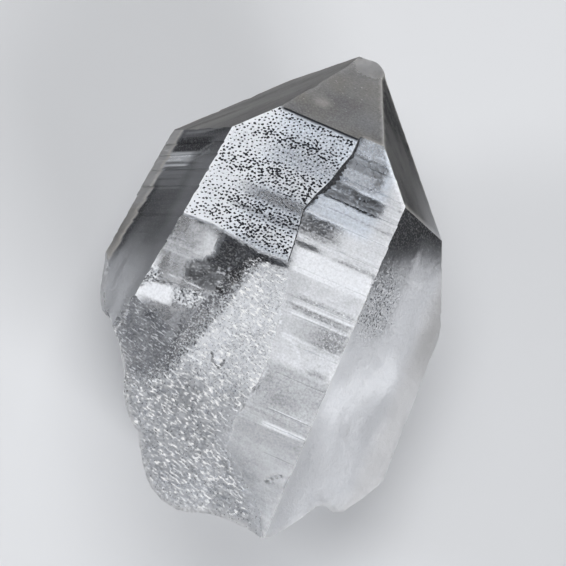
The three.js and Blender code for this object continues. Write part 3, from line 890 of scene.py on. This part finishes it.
def right_look(points):
    y, across = points[:, 1], across_side(points, -1)
    wander = cloud(points, 3, 143)
    height = y - 0.55 * (across + 9) + 1.2 * wander
    top = smooth(11, 1.5, height)
    mottle = cloud(points, (3.5, 5, 3.5), 141, 4)
    milk = 0.64 + 0.12 * mottle
    streak_gap = distance_to(RIGHT_STREAK, across, y)
    feather = cloud(points, (1, 3, 1), 145)
    streak = smooth(3.6, 0, streak_gap + 0.8 * wander + feather) * smooth(-4, 4, y)
    crest = distance_to(RIGHT_CREST, across, y)
    white = smooth(5.4, 0, crest + 1.2 * wander + feather)
    haze = np.maximum(mix(0, milk, top), 0.46 * streak)
    haze = mix(haze, 1, 0.75 * white)
    dots = smooth(2.5, -4.5, across + 1.2 * wander) * between(y, -3, 7, 2.5)
    haze = mix(haze, 0.3, 0.75 * dots)
    edge = smooth(6.5, 12, across + 0.5 * wander)
    high = smooth(-8, 3, y)
    haze = mix(haze, mix(0.64, 0.48, high), 0.8 * edge)
    haze = mix(haze, 0.95, 0.3 * smooth(-6.5, -9.5, across) * between(y, -16, -6, 3))
    haze = mix(haze, 0.42, 0.7 * smooth(-2, -8.5, across) * smooth(-17, -25, y))
    grey = 0.05 * smooth(-0.1, -0.9, mottle) + 0.2 * edge * high
    # The clear upper part is painted dark, less in the streak: painted shade.
    shade = np.maximum(mix(1, 0, top) * (1 - 0.9 * streak), grey)
    tint = 0.15 - mix(0.2, 0.35, high) * edge
    return haze, mix(0.8, 0.34, top), shade, tint, 0.1, mix(1, 0.9, top) + 2.6 * dots, 0


def tip_front_look(points):
    x, y, _ = points.T
    haze = 0.32 + 0.1 * cloud(points, 3.5, 151) + 0.08 * smooth(25, 38, y)
    haze += 0.3 * smooth(2.2, 0.2, np.hypot(x + 4, (y - 27.4) * 1.3) + 0.6 * cloud(points, 1.2, 153))
    reach = np.hypot(x, y - 38.6) + 0.8 * cloud(points, 1, 155)
    apex = smooth(3.6, 2.6, reach)
    haze = mix(haze, 0.4 + 0.25 * cloud(points, 1.4, 157), apex)
    haze = mix(haze, 0.7, 0.5 * between(reach, 3, 3.2, 0.2))
    tint = -0.5 + 0.5 * cloud(points, 4.5, 159)
    return haze, 0.25 + 0.1 * apex, 0.3 * (1 - 0.4 * apex), tint, 0, 0.5 + 0.9 * apex, 0


def tip_side_look(points):
    x, y, z = points.T
    bands = cloud(points @ np.array(((0.25, 0, 0), (0, 0.25, 0), (0.12, 0.12, 1.6))), 1, 161)
    inward = np.linalg.norm(np.cross(points - TIP_LEFT_PLACE, TIP_LEFT_DIRECTION), axis=1)
    inward += 0.8 * cloud(points, (7, 7, 3), 165)
    inside = smooth(0, 3, inward) * smooth(11, 5, inward)
    glow = 0.22 + 0.3 * inside * mix(0.5, 1, smooth(-5, -14, x)) + 0.28 * smooth(-11, -18, x)
    glow *= 1 - 0.8 * between(inward, 3.2, 4.6, 0.8) * smooth(-14, -18, x)
    wedge = np.where(x > 0, smooth(28, 15, y) * smooth(36, 27, z), 0)
    pale = np.where(x > 0, np.maximum(0.15 * smooth(30, 24, y), wedge), glow)
    dark_side = np.where(x > 0, 0.15 * smooth(24, 31, y), 0)
    haze = mix(0.08 + 0.12 * np.maximum(0, bands), mix(0.45, 0.62, wedge), 0.7 * pale)
    # The tip's sides are painted dark, less in their paler bands: painted shade.
    shade = mix(0.85 - 0.15 * bands + dark_side, mix(0.4, 0.15, wedge), 0.7 * pale)
    return haze, mix(0.9, 0.5, pale), shade, mix(-0.85, 0.2, wedge), 0.1, 0.3, 0


def layer_look(points):
    x, y, _ = points.T
    rows = np.maximum(between(y, 11, 14.9, 0.7), between(y, 2.6, 5.6, 0.6))
    haze = mix(0.6, 1, smooth(-5, -11, x)) + 0.2 * rows + 0.14 * cloud(points, 2.6, 101)
    haze += 0.14 * smooth(17, 20, y)
    band = between(y, 8.7, 10.5, 0.6) * smooth(-12, -5, x)
    haze = mix(haze, 0.1, band)
    haze = mix(haze, 0.35, between(y, 6.2, 7, 0.3) * smooth(-11, -7, x))
    haze = mix(haze, 0.45, between(y, 15.6, 17.6, 0.8) * smooth(-9, -4, x))
    edge = smooth(0.5, 0.3, y.max() - y) * smooth(-10, -8.5, x)
    tint = mix(0.8, 0.3, np.maximum(0.7 * rows, smooth(-5, -11, x)))
    shade = np.maximum(edge, 0.1 * band)
    return np.maximum(haze, edge), 0.2 + 0.8 * edge, shade, tint, 0.3, 1.5 * (1 - edge), 0


# The slope beside the raised layer is painted nearly black: painted shade.
def step_look(_):
    return 1, 1, 0.98, 0, 0, 0.2, 0


def rim_look(_):
    return 0.6, 0.4, 0.2, 0.3, 0, 3, 0


def front_look(points):
    x, y, _ = points.T
    haze, shade = front_haze(points)
    cool = 0.6 * smooth(8, 11, y) * smooth(12.5, 10, x) + 0.2
    window = window_share(points)
    granules = granular_share(x, y)
    valley = smooth(-11.5, -12.9, y) * smooth(-5, -7, x)
    grain = mix(0.8, 0.4, smooth(-19, -24, y)) + 1.2 * window
    in_dark = mix(5.5, 3.2, smooth(9.5, 12, y)) * np.clip(shade, 0, 0.6)
    grain += in_dark * (1 - window) + 3.4 * granules
    grain += 0.5 * between(x, 10.6, 15, 1.8) * between(y, -8.8, -4.4, 1.4)
    frost = 0.16 + 0.7 * shade + 0.08 * valley
    return haze, frost, shade, cool, front_lines(y), mix(grain, 0.6, valley), 0.8 * granules + 0.22 * window


def break_look(points):
    rim = smooth(-20, -23, points[:, 0])
    return mix(0.66, 0.4, rim), 0.42, 0.16 * rim, 0.1, 0, mix(1.6, 0.8, rim), mix(0.8, 0.3, rim)


def back_look(points):
    return 0.3 + 0.2 * cloud(points, 6, 171), 0.16, 0.1, 0, 1, 0.3, 0


# The look functions in the order of the regions.
LOOK_OF = (
    layer_look, step_look, rim_look, front_look, etched_look, left_look, right_look, back_look, back_look,
    tip_front_look, tip_side_look, back_look, break_look,
)


def add_looks(mesh, points, triangles, kinds, sharp, floors):
    values = np.zeros((len(LOOKS), len(triangles) * 3), np.float32)
    ends = triangles.reshape(-1)
    for kind in range(REGION_COUNT):
        corners = np.flatnonzero(np.repeat(kinds == kind, 3))
        for row, value in zip(values, LOOK_OF[kind](points[ends[corners]])):
            row[corners] = value
    # A pale line along the tip's right ridges: painted highlight.
    beside_layer = (points[ends, 0] < 4) & (points[ends, 1] < 24.6)
    painted_ridge_highlight = np.isin(ends, sharp) & np.isin(np.repeat(kinds, 3), (TIP_FRONT, TIP_SIDE)) & ~beside_layer
    painted_ridge_highlight &= points[ends, 0] > 0
    values[LOOKS.index("haze"), painted_ridge_highlight] = PAINTED_HIGHLIGHT_HAZE
    values[LOOKS.index("shade"), painted_ridge_highlight] *= PAINTED_HIGHLIGHT_SHADE
    # Pits are painted dark on their walls and floors: painted shade in the hollows.
    in_pit = np.repeat(np.isin(triangles, floors).any(1), 3)
    for name in ("haze", "frost", "shade"):
        values[LOOKS.index(name), in_pit] = 1
    values[LOOKS.index("grain"), in_pit] = 0
    for name, row in zip(LOOKS, values):
        mesh.attributes.new(name, "FLOAT", "CORNER").data.foreach_set("value", row)


# The quartz material. Noise is given in cycles to a millimetre on X, Y and Z.
PALE_QUARTZ = (0.78, 0.785, 0.805, 1)
# The strokes' white: painted glints on the etched dashes.
STROKE_GLINT_WHITE = (0.97, 0.975, 0.985, 1)
PAINTED_SHADE_COLOUR = (0.012, 0.013, 0.017, 1)
COOL_TINT = (0.82, 0.90, 1.0, 1)
WARM_TINT = (0.93, 0.88, 0.78, 1)
QUARTZ_IOR = 1.544
SCATTER_DEPTH = 2.5
ABSORPTION_COLOUR = (0.60, 0.62, 0.66, 1)
ABSORPTION_DENSITY = 25
LINE_NOISE = (0.1, 2.6, 0.1)
GRAIN_NOISE = (3.2, 3.2, 3.2)
STROKE_NOISE = (1.2, 3.9, 0.8)
STROKE_TURN = -14
STROKE_START, STROKE_FULL = 0.545, 0.64
MOTTLING = 0.8
GRAIN_IN_FROST = 0.2
GRAIN_GLINTS = 2.0
BUMP_STRENGTH = 0.6
BUMP_HEIGHT = 0.1
# The sockets of a colour Mix node.
MIX_SHARE, MIX_FIRST, MIX_SECOND, MIX_RESULT = 0, 6, 7, 2


def feed(node, inputs):
    """Gives a node's inputs, by name or number, plain values or links from other sockets."""
    for name, value in inputs.items():
        if isinstance(value, bpy.types.NodeSocket):
            node.id_data.links.new(value, node.inputs[name])
        else:
            node.inputs[name].default_value = value


def new_material(name):
    material = bpy.data.materials.new(name)
    material.use_nodes = True
    return material, material.node_tree.nodes["Principled BSDF"]


def quartz_material():
    material, shader = new_material("quartz")
    tree = material.node_tree

    def node(kind, inputs, **settings):
        """The outputs of a new node."""
        made = tree.nodes.new(kind)
        for name, value in settings.items():
            setattr(made, name, value)
        feed(made, inputs)
        return made.outputs

    def calculate(operation, a, b, clamp=False):
        return node("ShaderNodeMath", {0: a, 1: b}, operation=operation, use_clamp=clamp)[0]

    def add(a, b, clamp=False):
        return calculate("ADD", a, b, clamp)

    def times(a, b):
        return calculate("MULTIPLY", a, b)

    def one_less(a):
        return calculate("SUBTRACT", 1.0, a, True)

    def noise_of(scale, detail, turn=0):
        size = [MM / part for part in scale]
        place = {"Vector": coordinates, "Scale": size, "Rotation": (0, 0, math.radians(turn))}
        place = node("ShaderNodeMapping", place, vector_type="TEXTURE")["Vector"]
        return node("ShaderNodeTexNoise", {"Vector": place, "Scale": 1.0, "Detail": detail})["Fac"]

    def relief(scale, detail, strength):
        return times(calculate("SUBTRACT", noise_of(scale, detail), 0.5), strength)

    def mixed(share, first, second, blend="MIX"):
        inputs = {MIX_SHARE: share, MIX_FIRST: first, MIX_SECOND: second}
        return node("ShaderNodeMix", inputs, data_type="RGBA", blend_type=blend)[MIX_RESULT]

    coordinates = node("ShaderNodeTexCoord", {})["Object"]
    haze, frost, shade, tint, ruled, grained, stroked = (
        node("ShaderNodeAttribute", {}, attribute_name=name)["Fac"] for name in LOOKS)
    lines = relief(LINE_NOISE, 4, ruled)
    grain = relief(GRAIN_NOISE, 3, grained)
    stroke = noise_of(STROKE_NOISE, 3, STROKE_TURN)
    stroke = {"Value": stroke, "From Min": STROKE_START, "From Max": STROKE_FULL}
    stroke = node("ShaderNodeMapRange", stroke, interpolation_type="SMOOTHSTEP")["Result"]
    strokes = times(stroke, stroked)

    varied = add(add(haze, times(lines, MOTTLING)), strokes)
    varied = calculate("MAXIMUM", add(varied, times(grain, MOTTLING)), 0.0)
    glints = add(strokes, calculate("MAXIMUM", times(grain, GRAIN_GLINTS), 0.0))
    # Strokes whiten the colour: painted glints on frosted crests.
    colour = mixed(strokes, PALE_QUARTZ, STROKE_GLINT_WHITE)
    # Shade darkens the colour, less where glints fall: painted shade, lifted by painted glints.
    colour = mixed(times(shade, one_less(glints)), colour, PAINTED_SHADE_COLOUR)
    colour = mixed(tint, colour, COOL_TINT, "MULTIPLY")
    colour = mixed(times(tint, -1.0), colour, WARM_TINT, "MULTIPLY")
    height = add(add(lines, grain), strokes)
    bump = {"Height": height, "Strength": BUMP_STRENGTH, "Distance": BUMP_HEIGHT * MM}
    feed(shader, {
        "Base Color": colour,
        "Roughness": add(frost, times(grain, GRAIN_IN_FROST), True),
        "Transmission Weight": one_less(varied),
        "Normal": node("ShaderNodeBump", bump)["Normal"],
        "IOR": QUARTZ_IOR,
        "Subsurface Weight": 1.0,
        "Subsurface Radius": (1.0, 1.0, 1.0),
        "Subsurface Scale": SCATTER_DEPTH * MM,
    })
    absorption = {"Color": ABSORPTION_COLOUR, "Density": ABSORPTION_DENSITY}
    absorption = node("ShaderNodeVolumeAbsorption", absorption)["Volume"]
    feed(tree.nodes["Material Output"], {"Volume": absorption})
    return material


def make_crystal():
    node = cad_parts["quartz_crystal"]
    points, triangles, kinds, normals, sharp, floors = fine_surface(node)
    formed = shaped(points, triangles, kinds, normals, sharp, floors)
    mesh = bpy.data.meshes.new("quartz_point")
    mesh.from_pydata((formed * MM).tolist(), [], triangles.tolist())
    mesh.polygons.foreach_set("use_smooth", [True] * len(triangles))
    add_looks(mesh, points, triangles, kinds, sharp, floors)
    mesh.set_sharp_from_angle(angle=math.radians(CREASE_ANGLE))
    mesh.materials.append(quartz_material())
    crystal = bpy.data.objects.new("quartz_point", mesh)
    bpy.context.scene.collection.objects.link(crystal)
    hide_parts("quartz_crystal")
    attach(crystal, "root")


# The stage, in metres: the floor, and soft boxes by name, place, size and power in watts.
FLOOR_SIZE = 3.0
FLOOR_DROP = 0.1 * MM
FLOOR_COLOUR = (0.70, 0.71, 0.73, 1)
FLOOR_ROUGHNESS = 0.9
LIGHTS = [
    ("key", (-0.08, 0.26, 0.75), 0.6, 3.6),
    ("low_right", (0.62, -0.42, 0.42), 0.4, 4.6),
    ("left", (-0.75, -0.1, 0.4), 0.3, 2.4),
]
LIGHT_AIM = (0, 0, 0.02)
WORLD_COLOUR = (0.95, 0.97, 1.0, 1)
WORLD_STRENGTH = 0.16


def make_floor():
    bpy.ops.mesh.primitive_plane_add(size=FLOOR_SIZE, location=(0, 0, -FLOOR_DROP))
    floor = bpy.context.object
    floor.name = "floor"
    material, shader = new_material("floor")
    feed(shader, {"Base Color": FLOOR_COLOUR, "Roughness": FLOOR_ROUGHNESS})
    floor.data.materials.append(material)


def make_camera():
    data = bpy.data.cameras.new("camera")
    data.sensor_width = SENSOR
    data.lens = SENSOR * FOCAL_PIXELS / PHOTO_WIDTH
    data.clip_start = 0.01
    camera = bpy.data.objects.new("camera", data)
    bpy.context.scene.collection.objects.link(camera)
    turn = Matrix((CAMERA_RIGHT, CAMERA_UP, CAMERA_BACK)).transposed()
    camera.matrix_world = Matrix.Translation(Vector(CAMERA_PLACE) * MM) @ turn.to_4x4()
    bpy.context.scene.camera = camera


def make_light():
    """Square soft boxes that face the crystal, and an even light all round."""
    for name, place, size, power in LIGHTS:
        data = bpy.data.lights.new(name, "AREA")
        data.energy = power
        data.size = size
        light = bpy.data.objects.new(name, data)
        light.location = place
        light.rotation_euler = (Vector(place) - Vector(LIGHT_AIM)).to_track_quat("Z", "Y").to_euler()
        bpy.context.scene.collection.objects.link(light)
    world = bpy.data.worlds.new("world")
    bpy.context.scene.world = world
    world.use_nodes = True
    feed(world.node_tree.nodes["Background"], {"Color": WORLD_COLOUR, "Strength": WORLD_STRENGTH})


def set_render():
    scene = bpy.context.scene
    scene.view_settings.view_transform = "Standard"
    scene.cycles.use_denoising = True
    scene.cycles.max_bounces = 16
    scene.cycles.transmission_bounces = 14
    scene.cycles.glossy_bounces = 6
    scene.cycles.diffuse_bounces = 4


make_camera()
make_floor()
make_light()
make_crystal()
set_render()
